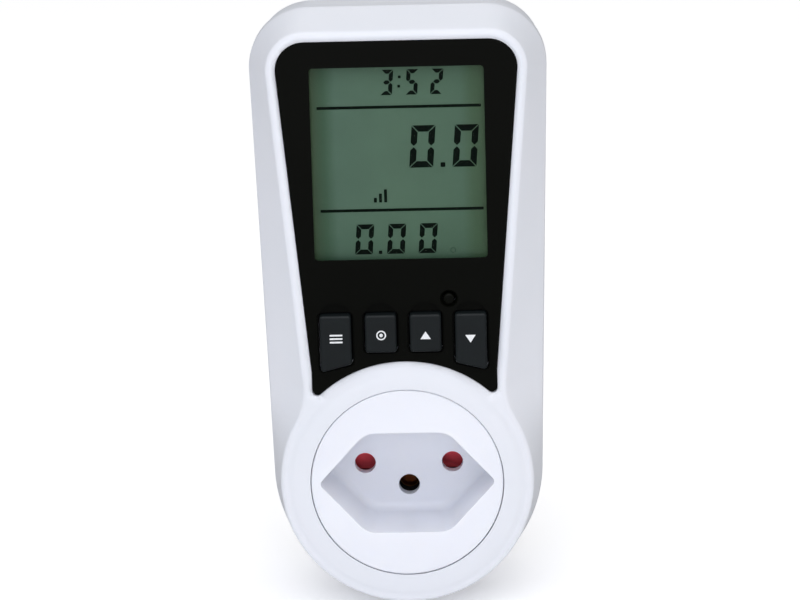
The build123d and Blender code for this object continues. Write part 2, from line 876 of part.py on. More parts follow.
def shutter_spring():
    low, high = spring_ends()
    pitch = (high - low - spring_wire) / spring_turns
    path = Helix(pitch, high - low - spring_wire, spring_radius - spring_wire / 2)
    section = (path ^ 0) * Circle(spring_wire / 2)
    coil = sweep(section, path=path, is_frenet=True)
    return Pos(0, at_y(recess_back + shutter_room / 2), low + spring_wire / 2) * coil


def chamber_front(z):
    return recess_back + shutter_room - (earth_advance if z < 0 else 0)


def contact_carrier():
    """Block behind the insert with a chamber for each contact and the room in which the shutter slides."""
    back = carrier_back
    outline = box_between(-carrier_half_width, carrier_half_width, carrier_low, carrier_high)
    solid = slab(fillet(outline.vertices(), insert_wall), recess_back, back)
    ear_back = recess_back + carrier_ear_thickness
    for side in (-1, 1):
        ear = post(0, side * carrier_ear_place, carrier_ear_radius, recess_back, ear_back)
        edge = carrier_high if side > 0 else carrier_low
        low, high = sorted((edge - side * carrier_floor, side * carrier_ear_place))
        ear += block(-carrier_ear_radius, carrier_ear_radius, low, high, recess_back, ear_back)
        solid += ear
    room_half = shutter_half_width + shutter_side_gap
    pad_inner = shutter_half_width - shutter_pad_width - shutter_side_gap
    room_top = shutter_top + shutter_travel + shutter_side_gap
    room_far = recess_back + shutter_room
    solid -= block(-room_half, room_half, shutter_bridge_low - shutter_side_gap, room_top, 0, room_far)
    for side in (-1, 1):
        low, high = sorted((side * room_half, side * pad_inner))
        solid -= block(low, high, shutter_pad_low - shutter_side_gap, room_top, 0, room_far)
    spring_room = spring_radius + spring_wire
    solid -= block(-spring_room, spring_room, 0, carrier_high - wall / 2, 0, room_far)
    for x, z in pin_places():
        chamber = contact_inner_radius + contact_wall + contact_room
        solid -= post(x, z, chamber, chamber_front(z), back - carrier_floor)
        floor_zone = post(x, z, contact_tail_reach + contact_wall + tail_slot_gap,
                          back - carrier_floor - contact_wall * 2, back + overrun)
        solid -= tail_slot(x, z, 0, back + overrun, tail_slot_gap) & floor_zone
        solid -= foot_room(x, z, back)
    ends = [plane_at(recess_back) * (Pos(0, earth_line) * Circle(tunnel_mouth_radius)),
            plane_at(chamber_front(earth_line)) * (Pos(0, earth_line) * Circle(tunnel_radius))]
    solid -= loft(ends, ruled=True)
    for side in (-1, 1):
        solid -= post(0, side * carrier_ear_place, carrier_screw_radius + screw_gap, 0, back)
    return solid


def tail_direction(x):
    """The way a contact's tail stands off its axis: outwards for live and neutral, down for earth."""
    return (1, 0) if x > 0 else (-1, 0) if x < 0 else (0, -1)


def tail_slot(x, z, near, far, gap):
    dx, dz = tail_direction(x)
    middle_x = x + dx * contact_tail_reach
    middle_z = z + dz * contact_tail_reach
    half_thick = contact_tail_thickness / 2 + gap
    half_wide = contact_tail_width / 2 + gap
    half_x = half_thick if dx else half_wide
    half_z = half_wide if dx else half_thick
    return block(middle_x - half_x, middle_x + half_x, middle_z - half_z, middle_z + half_z, near, far)


def foot(x, z, near, far, gap):
    """The foot that joins a contact's tube to its tail."""
    dx, dz = tail_direction(x)
    reach = contact_tail_reach + contact_tail_thickness / 2 + gap
    half_wide = contact_tail_width / 2 + gap
    if dx:
        low, high = sorted((x, x + dx * reach))
        return block(low, high, z - half_wide, z + half_wide, near, far)
    return block(x - half_wide, x + half_wide, z - reach, z, near, far)


def foot_room(x, z, back):
    far = back - carrier_floor
    return foot(x, z, far - contact_wall - contact_room, far, tail_slot_gap)


def contact(x, z):
    """Sprung tube that grips a plug pin, slit along one side, with a foot and a tail that reaches its bar."""
    far = carrier_back - carrier_floor
    near = chamber_front(z) + contact_front_gap
    outer = contact_inner_radius + contact_wall
    tube = post(x, z, outer, near, far)
    tube -= post(x, z, contact_inner_radius, near - overrun, far - contact_wall)
    mouth = [plane_at(near) * (Pos(x, z) * Circle(contact_inner_radius + contact_wall * 2 / 3)),
             plane_at(near + contact_wall * 2) * (Pos(x, z) * Circle(contact_inner_radius))]
    tube -= loft(mouth, ruled=True)
    tube -= block(x - contact_slit / 2, x + contact_slit / 2, z, z + outer + overrun,
                  near - overrun, far - contact_wall * 2)
    tube += foot(x, z, far - contact_wall, far, 0)
    tube += tail_slot(x, z, far - contact_wall, body_depth - wall, 0)
    return tube


def carrier_screws():
    seat = recess_back + carrier_ear_thickness
    return Compound([
        screw(0, side * carrier_ear_place, seat, carrier_screw_radius, carrier_screw_length - wall,
              carrier_screw_head_radius, carrier_screw_head, True) for side in (-1, 1)])


# Plug pins, bars and wires

def plug_pin(x, z, sleeved):
    """Round pin with a thicker shank held in the boss; its neck passes a bar and ends in a riveted head."""
    shoulder = body_depth - wall
    end = body_depth + boss_length + pin_length
    pin = post(x, z, pin_radius, shoulder, end)
    tip = [e for e in pin.edges() if abs(e.center().Y - at_y(end)) < panel_gap]
    pin = fillet(tip, pin_tip_round)
    pin += post(x, z, pin_shank_radius, shoulder, body_depth + boss_length)
    pin += post(x, z, pin_neck_radius, bar_depth, shoulder)
    pin += post(x, z, pin_head_radius, bar_depth - pin_head_thickness, bar_depth)
    if sleeved:
        near = body_depth + boss_length
        groove = post(x, z, pin_radius * 2, near, near + sleeve_length)
        groove -= post(x, z, pin_neck_radius, near, near + sleeve_length)
        pin -= groove
    return pin


def pin_sleeves():
    near = body_depth + boss_length
    sleeves = []
    for x, z in pin_places()[:2]:
        tube = post(x, z, pin_radius, near, near + sleeve_length)
        sleeves.append(tube - post(x, z, pin_neck_radius, near - overrun, near + sleeve_length + overrun))
    return Compound(sleeves)


def bar_plate(x_low, x_high, z_low, z_high):
    far = body_depth - wall
    outline = box_between(x_low, x_high, z_low, z_high)
    return slab(fillet(outline.vertices(), contact_wall), bar_depth, far)


def bar_holes(plate, pins, tails):
    far = body_depth - wall
    for x, z in pins:
        plate -= post(x, z, pin_neck_radius + screw_gap, bar_depth - overrun, far + overrun)
    for x, z in tails:
        plate -= tail_slot(x, z, bar_depth - overrun, far + overrun, screw_gap)
    return plate


def live_bar():
    left, right = live_place - bar_width / 2 + contact_wall, live_place + bar_width / 2
    plate = bar_plate(left, right, -bar_width / 2, bar_top)
    return bar_holes(plate, [(live_place, 0)], [])


def load_bar():
    middle = live_place - contact_tail_reach
    high = middle + load_bar_edge
    plate = bar_plate(high - load_bar_width, high, -bar_width / 2, bar_top)
    return bar_holes(plate, [], [(live_place, 0)])


def neutral_bar():
    plate = bar_plate(neutral_place - bar_width / 2, neutral_place + bar_width, -bar_width / 2, bar_width / 2)
    plate += bar_plate(neutral_place - bar_width / 2, neutral_place + bar_width / 2, -bar_width / 2, bar_top)
    return bar_holes(plate, [(neutral_place, 0)], [(neutral_place, 0)])


def earth_bar():
    low = earth_line - contact_tail_reach - contact_tail_width
    plate = bar_plate(-bar_width / 2, bar_width / 2, low, earth_line + bar_width / 2)
    return bar_holes(plate, [(0, earth_line)], [(0, earth_line)])


def wire(x):
    """Insulated wire from the top of a bar up to the back of the power board."""
    low = bar_top - wire_radius * 2
    high = low + wire_rise
    turn = (bar_depth + power_board_back) / 2
    corners = [(x, at_y(bar_depth), low), (x, at_y(turn), low),
               (x, at_y(turn), high), (x, at_y(power_board_back), high)]
    path = FilletPolyline(*corners, radius=wire_bend_radius)
    section = Plane(origin=corners[0], z_dir=(0, -1, 0)) * Circle(wire_radius)
    return sweep(section, path=path)


# Power board and its parts

def power_board():
    plate = block(-power_board_half_width, power_board_half_width, power_board_low, power_board_high,
                  power_board_depth, power_board_back)
    for x, z in both_sides(power_screw_places):
        plate -= post(x, z, board_screw_radius + screw_gap, power_board_depth - overrun,
                      power_board_back + overrun)
    return plate


def power_board_screws():
    return Compound([
        screw(x, z, power_board_depth, board_screw_radius, power_screw_length, board_screw_head_radius,
              board_screw_head, False)
        for x, z in both_sides(power_screw_places)])


def box_on_board(place, size, corner):
    """A part of a width, a height and a rise, standing on the front of the power board."""
    (x, z), (width, height, rise) = place, size
    solid = block(x - width / 2, x + width / 2, z - height / 2, z + height / 2,
                  power_board_depth - rise, power_board_depth)
    back = [e for e in solid.edges() if abs(e.center().Y - at_y(power_board_depth)) < panel_gap]
    return fillet([e for e in solid.edges() if e not in back], corner)


def lying_can(place, radius, length, round_share):
    """A round part that lies on the board along X."""
    x, z = place
    can = Cylinder(radius, length)
    can = fillet(can.edges(), radius * round_share)
    return Pos(x, at_y(power_board_depth - radius), z) * Rot(0, 90, 0) * can


def storage_capacitor():
    return lying_can(storage_capacitor_place, storage_capacitor_radius, storage_capacitor_length, 1 / 8)


def varistor():
    x, z = varistor_place
    disc = Cylinder(varistor_radius, varistor_thickness)
    disc = fillet(disc.edges(), varistor_thickness / 3)
    disc = Pos(x, at_y(power_board_depth - varistor_radius - lead_rise / 2), z) * disc
    for side in (-1, 1):
        disc += post(x + side * varistor_radius / 2, z, lead_radius,
                     power_board_depth - varistor_radius, power_board_depth)
    return disc


def fusible_resistor():
    x, z = resistor_place
    can = Cylinder(resistor_radius, resistor_length)
    can = Pos(x, at_y(power_board_depth - resistor_radius), z) * fillet(can.edges(), resistor_radius / 2)
    return can


def shunt():
    """Bridge of resistance alloy that carries the load current past the metering chip."""
    x, z = shunt_place
    half = shunt_width / 2
    top = power_board_depth - shunt_rise
    strip = block(x - half, x + half, z - shunt_strip / 2, z + shunt_strip / 2, top, power_board_depth)
    inner = half - shunt_thickness
    strip -= block(x - inner, x + inner, z - shunt_strip, z + shunt_strip,
                   top + shunt_thickness, power_board_depth + overrun)
    corners = [e for e in strip.edges().filter_by(Axis.Z) if abs(e.center().Y - at_y(top)) < panel_gap]
    return fillet(corners, shunt_thickness)


def rectifier_diodes():
    x, z = diode_place
    return Compound([lying_can((x, z + n * diode_pitch), diode_radius, diode_length, 1 / 4)
                     for n in range(diode_count)])


def backup_battery():
    return lying_can(battery_place, battery_radius, battery_length, battery_edge / battery_radius)


def battery_tabs():
    x, z = battery_place
    tabs = []
    for side in (-1, 1):
        low, high = sorted((side * battery_length / 2, side * (battery_length / 2 + battery_tab_thickness)))
        half = battery_tab_width / 2
        tabs.append(block(x + low, x + high, z - half, z + half,
                          power_board_depth - battery_radius - half, power_board_depth))
    return Compound(tabs)


def link_header():
    """The two plastic strips of the pin link between the boards."""
    x, z = link_place
    length = link_pitch * link_count
    strips = []
    for near in (board_back, power_board_depth - link_strip_height):
        far = near + link_strip_height
        strip = block(x - length / 2, x + length / 2, z - link_strip_width / 2, z + link_strip_width / 2,
                      near, far)
        for px in link_columns():
            strip -= post(px, z, link_pin_radius + screw_gap, near - overrun, far + overrun)
        strips.append(strip)
    return Compound(strips)


def link_columns():
    x, _ = link_place
    return [x + (n - (link_count - 1) / 2) * link_pitch for n in range(link_count)]


def link_pins():
    _, z = link_place
    return Compound([post(px, z, link_pin_radius, board_back, power_board_depth) for px in link_columns()])


def main():
    keys = dict(zip(("function", "cost", "up", "down"), key_places()))
    plungers = dict(zip(("function", "cost", "up", "down", "reset"), switch_places()))
    parts = {
        "front_housing": front_housing(),
        "rear_housing": rear_housing(),
        "housing_screws": housing_screws(),
        "display_panel": display_panel(),
        "display_window": display_window(),
        "lcd_glass": lcd_glass(),
        "lcd_holder": lcd_holder(),
        "lcd_reflector": lcd_reflector(),
        "contact_rubbers": contact_rubbers(),
        "display_board": display_board(),
        "board_screws": board_screws(),
        "controller_blob": controller_blob(),
        "quartz_crystal": quartz_crystal(),
        "reset_button": reset_cap(),
        "switch_bodies": switch_bodies(),
        "power_board": power_board(),
        "power_board_screws": power_board_screws(),
        "mains_capacitor": box_on_board(mains_capacitor_place, mains_capacitor_size, battery_edge),
        "storage_capacitor": storage_capacitor(),
        "varistor": varistor(),
        "fusible_resistor": fusible_resistor(),
        "shunt": shunt(),
        "metering_chip": box_on_board(metering_chip_place, metering_chip_size, battery_tab_thickness),
        "rectifier_diodes": rectifier_diodes(),
        "backup_battery": backup_battery(),
        "battery_tabs": battery_tabs(),
        "link_header": link_header(),
        "link_pins": link_pins(),
        "socket_insert": socket_insert(),
        "shutter": shutter(),
        "shutter_spring": shutter_spring(),
        "contact_carrier": contact_carrier(),
        "carrier_screws": carrier_screws(),
        "live_contact": contact(live_place, 0),
        "neutral_contact": contact(neutral_place, 0),
        "earth_contact": contact(0, earth_line),
        "live_bar": live_bar(),
        "load_bar": load_bar(),
        "neutral_bar": neutral_bar(),
        "earth_bar": earth_bar(),
        "live_wire": wire(live_place),
        "load_wire": wire(live_place - contact_tail_reach - load_bar_edge),
        "neutral_wire": wire(neutral_place),
        "live_pin": plug_pin(live_place, 0, True),
        "neutral_pin": plug_pin(neutral_place, 0, True),
        "earth_pin": plug_pin(0, earth_line, False),
        "pin_sleeves": pin_sleeves(),
    }
    for name, place in keys.items():
        parts[name + "_button"] = key_cap(place)
    for name, place in plungers.items():
        parts[name + "_plunger"] = plunger(place)
    os.makedirs("parts", exist_ok=True)
    for name, shape in parts.items():
        export_step(shape, "parts/" + name + ".step")


main()
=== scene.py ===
from math import pi, radians

import bmesh
import bpy
from mathutils import Matrix, Vector


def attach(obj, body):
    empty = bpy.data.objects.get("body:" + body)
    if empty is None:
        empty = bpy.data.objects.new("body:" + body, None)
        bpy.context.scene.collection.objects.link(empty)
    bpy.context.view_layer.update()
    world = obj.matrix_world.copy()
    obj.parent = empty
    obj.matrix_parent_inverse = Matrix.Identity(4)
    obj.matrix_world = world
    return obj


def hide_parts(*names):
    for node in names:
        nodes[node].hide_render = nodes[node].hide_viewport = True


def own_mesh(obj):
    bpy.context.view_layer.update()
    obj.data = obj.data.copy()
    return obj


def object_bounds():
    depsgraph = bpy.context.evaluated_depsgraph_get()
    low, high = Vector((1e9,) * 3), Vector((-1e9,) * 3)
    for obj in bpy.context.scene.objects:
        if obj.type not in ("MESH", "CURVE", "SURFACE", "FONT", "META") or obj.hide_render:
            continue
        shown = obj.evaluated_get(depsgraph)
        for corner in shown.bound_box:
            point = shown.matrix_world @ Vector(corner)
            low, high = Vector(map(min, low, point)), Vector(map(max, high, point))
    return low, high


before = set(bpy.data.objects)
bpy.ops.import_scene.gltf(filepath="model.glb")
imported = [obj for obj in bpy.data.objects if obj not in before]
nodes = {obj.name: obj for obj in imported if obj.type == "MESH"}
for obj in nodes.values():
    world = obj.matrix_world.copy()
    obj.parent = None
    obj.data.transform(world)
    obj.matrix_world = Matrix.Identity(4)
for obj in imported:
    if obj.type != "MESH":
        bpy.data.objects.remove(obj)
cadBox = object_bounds()
mm = 0.001
print("stage: frame loaded,", len(nodes), "nodes")


# Colours and shader trees

shared = {
    "plastic": {"glossSpread": 0.12, "drift": (0.3, 0.7), "sinkMm": 2, "sinkTint": (1.0, 0.9, 0.8)},
    "metal": {"glossSpread": 0.25, "drift": (0.35, 0.65), "scratchStrength": 0.15,
              "scratchMm": 0.01},
}


def linearColour(hexColour):
    # The sRGB standard's curve from a hex colour to linear light.
    channels = [int(hexColour[i:i + 2], 16) / 255 for i in (1, 3, 5)]
    return [c / 12.92 if c <= 0.04045 else ((c + 0.055) / 1.055) ** 2.4 for c in channels] + [1.0]


def addNode(tree, kind, values=None, links=None, **settings):
    node = tree.nodes.new(kind)
    for key, value in settings.items():
        setattr(node, key, value)
    for key, value in (values or {}).items():
        node.inputs[key].default_value = value
    for key, socket in (links or {}).items():
        tree.links.new(socket, node.inputs[key])
    return node


def newMaterial(name):
    material = bpy.data.materials.new(name)
    material.use_nodes = True
    material.node_tree.nodes.clear()
    return material, material.node_tree


def colourStops(ramp, stops):
    # Sets a colour ramp to the stops given as (position, hex colour).
    for element, (position, colour) in zip(ramp.elements, (stops[0], stops[-1])):
        element.position, element.color = position, linearColour(colour)
    for position, colour in stops[1:-1]:
        ramp.elements.new(position).color = linearColour(colour)


def mouldedPlastic(name, look):
    # Plastic takes the mould's polish: the tone drifts a little where the melt flowed, the skin
    # ripples a little where it cooled, and the gloss varies with the wear of the mould.
    common = shared["plastic"]
    material, tree = newMaterial(name)
    place = addNode(tree, "ShaderNodeTexCoord").outputs["Object"]
    flow = addNode(tree, "ShaderNodeTexNoise", {"Scale": 1 / (look["flowMm"] * mm), "Detail": 2},
                   {"Vector": place})
    ripple = addNode(tree, "ShaderNodeTexNoise", {"Scale": 1 / (look["rippleMm"] * mm), "Detail": 2},
                     {"Vector": place})
    polish = addNode(tree, "ShaderNodeTexNoise", {"Scale": 1 / (look["polishMm"] * mm), "Detail": 3},
                     {"Vector": place})
    tone = addNode(tree, "ShaderNodeValToRGB", links={"Fac": flow.outputs["Fac"]})
    colourStops(tone.color_ramp, list(zip(common["drift"], (look["flowColour"], look["colour"]))))
    gloss = addNode(tree, "ShaderNodeMapRange",
                    {"To Min": look["roughness"] * (1 - common["glossSpread"]),
                     "To Max": look["roughness"] * (1 + common["glossSpread"])},
                    {"Value": polish.outputs["Fac"]})
    bump = addNode(tree, "ShaderNodeBump",
                   {"Strength": look["rippleStrength"], "Distance": look["rippleHeightMm"] * mm},
                   {"Height": ripple.outputs["Fac"]})
    shader = addNode(tree, "ShaderNodeBsdfPrincipled",
                     {"IOR": look["ior"], "Specular IOR Level": look.get("specular", 0.5),
                      "Subsurface Weight": look.get("subsurface", 0.0),
                      "Subsurface Scale": common["sinkMm"] * mm,
                      "Subsurface Radius": common["sinkTint"], "Alpha": look.get("alpha", 1.0)},
                     {"Base Color": tone.outputs["Color"], "Roughness": gloss.outputs["Result"],
                      "Normal": bump.outputs["Normal"]})
    addNode(tree, "ShaderNodeOutputMaterial", links={"Surface": shader.outputs[0]})
    return material


def metalFinish(name, look):
    # Bare or plated metal: one tint that dulls in patches, with fine scratches along the way it
    # was worked.
    common = shared["metal"]
    material, tree = newMaterial(name)
    place = addNode(tree, "ShaderNodeTexCoord").outputs["Object"]
    stretch = addNode(tree, "ShaderNodeMapping", {"Scale": look["grainStretch"]}, {"Vector": place})
    grain = addNode(tree, "ShaderNodeTexNoise", {"Scale": 1 / (look["grainMm"] * mm), "Detail": 4},
                    {"Vector": stretch.outputs["Vector"]})
    tarnish = addNode(tree, "ShaderNodeTexNoise", {"Scale": 1 / (look["tarnishMm"] * mm), "Detail": 2},
                      {"Vector": place})
    tone = addNode(tree, "ShaderNodeValToRGB", links={"Fac": tarnish.outputs["Fac"]})
    colourStops(tone.color_ramp, list(zip(common["drift"], (look["dullColour"], look["colour"]))))
    gloss = addNode(tree, "ShaderNodeMapRange",
                    {"To Min": look["roughness"] * (1 - common["glossSpread"]),
                     "To Max": look["roughness"] * (1 + common["glossSpread"])},
                    {"Value": grain.outputs["Fac"]})
    bump = addNode(tree, "ShaderNodeBump",
                   {"Strength": common["scratchStrength"], "Distance": common["scratchMm"] * mm},
                   {"Height": grain.outputs["Fac"]})
    shader = addNode(tree, "ShaderNodeBsdfPrincipled", {"Metallic": 1.0},
                     {"Base Color": tone.outputs["Color"], "Roughness": gloss.outputs["Result"],
                      "Normal": bump.outputs["Normal"]})
    addNode(tree, "ShaderNodeOutputMaterial", links={"Surface": shader.outputs[0]})
    return material


def boardLaminate(name, look):
    # The woven cloth shows faintly through the solder mask, and copper runs show as lighter tracks.
    material, tree = newMaterial(name)
    place = addNode(tree, "ShaderNodeTexCoord").outputs["Object"]
    upright = addNode(tree, "ShaderNodeMapping", {"Rotation": (pi / 2, 0, 0)}, {"Vector": place})
    weave = addNode(tree, "ShaderNodeTexWave",
                    {"Scale": 1 / (look["weaveMm"] * mm), "Distortion": look["weaveWander"]},
                    {"Vector": upright.outputs["Vector"]})
    tracks = addNode(tree, "ShaderNodeTexBrick",
                     {"Scale": 1 / (look["trackMm"] * mm), "Mortar Size": look["trackShare"],
                      "Color1": linearColour(look["colour"]),
                      "Color2": linearColour(look["deepColour"]),
                      "Mortar": linearColour(look["trackColour"])},
                     {"Vector": upright.outputs["Vector"]})
    bump = addNode(tree, "ShaderNodeBump",
                   {"Strength": look["weaveStrength"], "Distance": look["weaveHeightMm"] * mm},
                   {"Height": weave.outputs["Fac"]})
    shader = addNode(tree, "ShaderNodeBsdfPrincipled",
                     {"Roughness": look["roughness"], "IOR": look["ior"]},
                     {"Base Color": tracks.outputs["Color"], "Normal": bump.outputs["Normal"]})
    addNode(tree, "ShaderNodeOutputMaterial", links={"Surface": shader.outputs[0]})
    return material


def crystalCell(name, look):
    # Two glass sheets with the crystal between them: grey green in the middle, deeper green in a
    # band along each side where the sheets are glued, with painted shade that darkens the top and
    # bottom ends, and a haze.
    material, tree = newMaterial(name)
    place = addNode(tree, "ShaderNodeTexCoord").outputs["Object"]
    axes = addNode(tree, "ShaderNodeSeparateXYZ", links={"Vector": place})
    across = addNode(tree, "ShaderNodeMapRange",
                     {"From Min": -look["halfWidthMm"] * mm, "From Max": look["halfWidthMm"] * mm},
                     {"Value": axes.outputs["X"]})
    upward = addNode(tree, "ShaderNodeMapRange",
                     {"From Min": look["lowMm"] * mm, "From Max": look["highMm"] * mm},
                     {"Value": axes.outputs["Z"]})
    bands = addNode(tree, "ShaderNodeValToRGB", links={"Fac": across.outputs["Result"]})
    colourStops(bands.color_ramp, look["bands"])
    # The ends ramp is painted shade: it darkens the cell towards its top and bottom ends.
    ends = addNode(tree, "ShaderNodeValToRGB", links={"Fac": upward.outputs["Result"]})
    colourStops(ends.color_ramp, look["ends"])
    both = addNode(tree, "ShaderNodeVectorMath", operation="MULTIPLY")
    tree.links.new(bands.outputs["Color"], both.inputs[0])
    tree.links.new(ends.outputs["Color"], both.inputs[1])
    haze = addNode(tree, "ShaderNodeTexNoise", {"Scale": 1 / (look["hazeMm"] * mm), "Detail": 3},
                   {"Vector": place})
    amount = addNode(tree, "ShaderNodeMapRange",
                     {"From Min": look["hazeReach"][0], "From Max": look["hazeReach"][1],
                      "To Min": 1 - look["haze"], "To Max": 1 + look["haze"]},
                     {"Value": haze.outputs["Fac"]})
    hazed = addNode(tree, "ShaderNodeVectorMath", operation="SCALE",
                    links={"Vector": both.outputs["Vector"], "Scale": amount.outputs["Result"]})
    shader = addNode(tree, "ShaderNodeBsdfPrincipled",
                     {"Roughness": look["roughness"], "IOR": look["ior"],
                      "Specular IOR Level": look["specular"]},
                     {"Base Color": hazed.outputs["Vector"]})
    addNode(tree, "ShaderNodeOutputMaterial", links={"Surface": shader.outputs[0]})
    return material


plastics = {
    # ABS from a polished mould: an even cool white, softly glossy, that light sinks into a little
    "mouldedWhiteAbs": {
        "colour": "#e0e2e9", "flowColour": "#dde0e7", "flowMm": 26.0, "roughness": 0.33,
        "ior": 1.54, "rippleMm": 3.0, "rippleStrength": 0.12, "rippleHeightMm": 0.02,
        "polishMm": 1.2, "subsurface": 0.08},
    # The same plastic from another mould, a shade brighter and a little less glossy
    "mouldedBrightAbs": {
        "colour": "#e7e9f0", "flowColour": "#e4e6ee", "flowMm": 14.0, "roughness": 0.36,
        "ior": 1.54, "rippleMm": 2.4, "rippleStrength": 0.1, "rippleHeightMm": 0.02,
        "polishMm": 1.0, "subsurface": 0.35},
    # ABS from a polished mould: near black, with a soft sheen only where a light meets it
    "mouldedGlossBlackAbs": {
        "colour": "#070805", "flowColour": "#060704", "flowMm": 20.0, "roughness": 0.38,
        "ior": 1.54, "rippleMm": 4.0, "rippleStrength": 0.08, "rippleHeightMm": 0.02,
        "polishMm": 1.5, "specular": 0.07},
    # ABS from an etched mould: a satin blue black that lights up softly along the crowned edges
    "mouldedSatinBlackAbs": {
        "colour": "#13191b", "flowColour": "#121719", "flowMm": 5.0, "roughness": 0.46,
        "ior": 1.54, "rippleMm": 0.3, "rippleStrength": 0.12, "rippleHeightMm": 0.01,
        "polishMm": 0.5, "specular": 0.22},
    # Cast acrylic sheet cut to size: clear, with a faint grey veil
    "cutClearAcrylic": {
        "colour": "#141812", "flowColour": "#121610", "flowMm": 20.0, "roughness": 0.06,
        "ior": 1.49, "rippleMm": 6.0, "rippleStrength": 0.05, "rippleHeightMm": 0.01,
        "polishMm": 2.0, "alpha": 0.07, "specular": 0.1},
    # Polystyrene from a plain mould: a dull warm white
    "mouldedWhiteStyrene": {
        "colour": "#cfd0cc", "flowColour": "#c8c9c5", "flowMm": 9.0, "roughness": 0.5, "ior": 1.59,
        "rippleMm": 2.0, "rippleStrength": 0.1, "rippleHeightMm": 0.02, "polishMm": 0.8},
    # Thin layers of conducting and plain silicone rubber: dull grey with a fine ribbed skin
    "layeredGreySilicone": {
        "colour": "#3a3a3d", "flowColour": "#2c2c2e", "flowMm": 0.4, "roughness": 0.7, "ior": 1.41,
        "rippleMm": 0.4, "rippleStrength": 0.3, "rippleHeightMm": 0.05, "polishMm": 0.3},
    # Epoxy that was poured or pressed and then cured: black, lumpy where it set
    "curedBlackEpoxy": {
        "colour": "#0a0a0b", "flowColour": "#101011", "flowMm": 3.0, "roughness": 0.35,
        "ior": 1.55, "rippleMm": 1.4, "rippleStrength": 0.3, "rippleHeightMm": 0.05,
        "polishMm": 0.6},
    # Nylon for the small switch bodies: black, with the dull skin of a spark cut mould
    "mouldedBlackNylon": {
        "colour": "#101112", "flowColour": "#141516", "flowMm": 3.0, "roughness": 0.5, "ior": 1.53,
        "rippleMm": 0.8, "rippleStrength": 0.2, "rippleHeightMm": 0.03, "polishMm": 0.4},
    # Nylon filled with glass fibre: black with a faint grey streak and a coarser skin
    "mouldedFilledNylon": {
        "colour": "#111112", "flowColour": "#1a1a1b", "flowMm": 6.0, "roughness": 0.48,
        "ior": 1.53, "rippleMm": 1.0, "rippleStrength": 0.25, "rippleHeightMm": 0.03,
        "polishMm": 0.5},
    # Acetal: a waxy mid grey
    "mouldedGreyAcetal": {
        "colour": "#5e5f60", "flowColour": "#585959", "flowMm": 2.0, "roughness": 0.4, "ior": 1.48,
        "rippleMm": 0.8, "rippleStrength": 0.1, "rippleHeightMm": 0.02, "polishMm": 0.4},
    # Polyester box of a film capacitor: a strong yellow, slightly glossy
    "mouldedYellowPolyester": {
        "colour": "#c79a26", "flowColour": "#bd9122", "flowMm": 6.0, "roughness": 0.42,
        "ior": 1.57, "rippleMm": 1.6, "rippleStrength": 0.15, "rippleHeightMm": 0.03,
        "polishMm": 0.7},
    # Vinyl sleeve shrunk over a can: navy, tight and shiny
    "shrunkNavyVinyl": {
        "colour": "#141828", "flowColour": "#101322", "flowMm": 4.0, "roughness": 0.3, "ior": 1.53,
        "rippleMm": 1.0, "rippleStrength": 0.2, "rippleHeightMm": 0.03, "polishMm": 0.5},
    # Epoxy from a dip: bright blue with rounded, uneven skin
    "dippedBlueEpoxy": {
        "colour": "#1c3f86", "flowColour": "#183775", "flowMm": 3.0, "roughness": 0.38,
        "ior": 1.55, "rippleMm": 0.7, "rippleStrength": 0.3, "rippleHeightMm": 0.05,
        "polishMm": 0.4},
    # Baked cement coat of a power resistor: chalky grey green
    "bakedGreenCement": {
        "colour": "#6c7c64", "flowColour": "#61715a", "flowMm": 2.0, "roughness": 0.75, "ior": 1.5,
        "rippleMm": 0.3, "rippleStrength": 0.5, "rippleHeightMm": 0.05, "polishMm": 0.3},
    # Polyester film shrunk over the battery: green and glossy, drawn tight at the ends
    "shrunkGreenFilm": {
        "colour": "#1d6a38", "flowColour": "#196033", "flowMm": 5.0, "roughness": 0.28,
        "ior": 1.53, "rippleMm": 1.4, "rippleStrength": 0.2, "rippleHeightMm": 0.03,
        "polishMm": 0.6},
    # Coloured nylon from a smooth mould: red, softly glossy, bright enough to show in its holes
    "mouldedRedNylon": {
        "colour": "#ff5f6b", "flowColour": "#fa5965", "flowMm": 4.0, "roughness": 0.36,
        "ior": 1.53, "rippleMm": 1.0, "rippleStrength": 0.12, "rippleHeightMm": 0.02,
        "polishMm": 0.5, "subsurface": 0.1},
    # Vinyl drawn over the copper strands of a wire: brown, smooth and a little waxy
    "extrudedBrownVinyl": {
        "colour": "#4a2715", "flowColour": "#422212", "flowMm": 5.0, "roughness": 0.4, "ior": 1.53,
        "rippleMm": 1.0, "rippleStrength": 0.1, "rippleHeightMm": 0.02, "polishMm": 0.6},
    # The same sleeve in blue
    "extrudedBlueVinyl": {
        "colour": "#12388a", "flowColour": "#10317a", "flowMm": 5.0, "roughness": 0.4, "ior": 1.53,
        "rippleMm": 1.0, "rippleStrength": 0.1, "rippleHeightMm": 0.02, "polishMm": 0.6},
    # Liquid crystal where it is switched on: a flat green black
    "switchedDarkCrystal": {
        "colour": "#04110b", "flowColour": "#040f09", "flowMm": 3.0, "roughness": 0.4, "ior": 1.52,
        "rippleMm": 1.0, "rippleStrength": 0.02, "rippleHeightMm": 0.005, "polishMm": 0.5,
        "specular": 0.06},
    # The same crystal where it is only half on: a little darker than the cell
    "switchedFaintCrystal": {
        "colour": "#365140", "flowColour": "#324c3c", "flowMm": 3.0, "roughness": 0.4, "ior": 1.52,
        "rippleMm": 1.0, "rippleStrength": 0.02, "rippleHeightMm": 0.005, "polishMm": 0.5,
        "specular": 0.2},
    # Ink from a rubber pad: a thin even white with a soft edge
    "printedWhiteInk": {
        "colour": "#e2e4e6", "flowColour": "#d6d8da", "flowMm": 0.8, "roughness": 0.55, "ior": 1.5,
        "rippleMm": 0.2, "rippleStrength": 0.2, "rippleHeightMm": 0.01, "polishMm": 0.2},
}
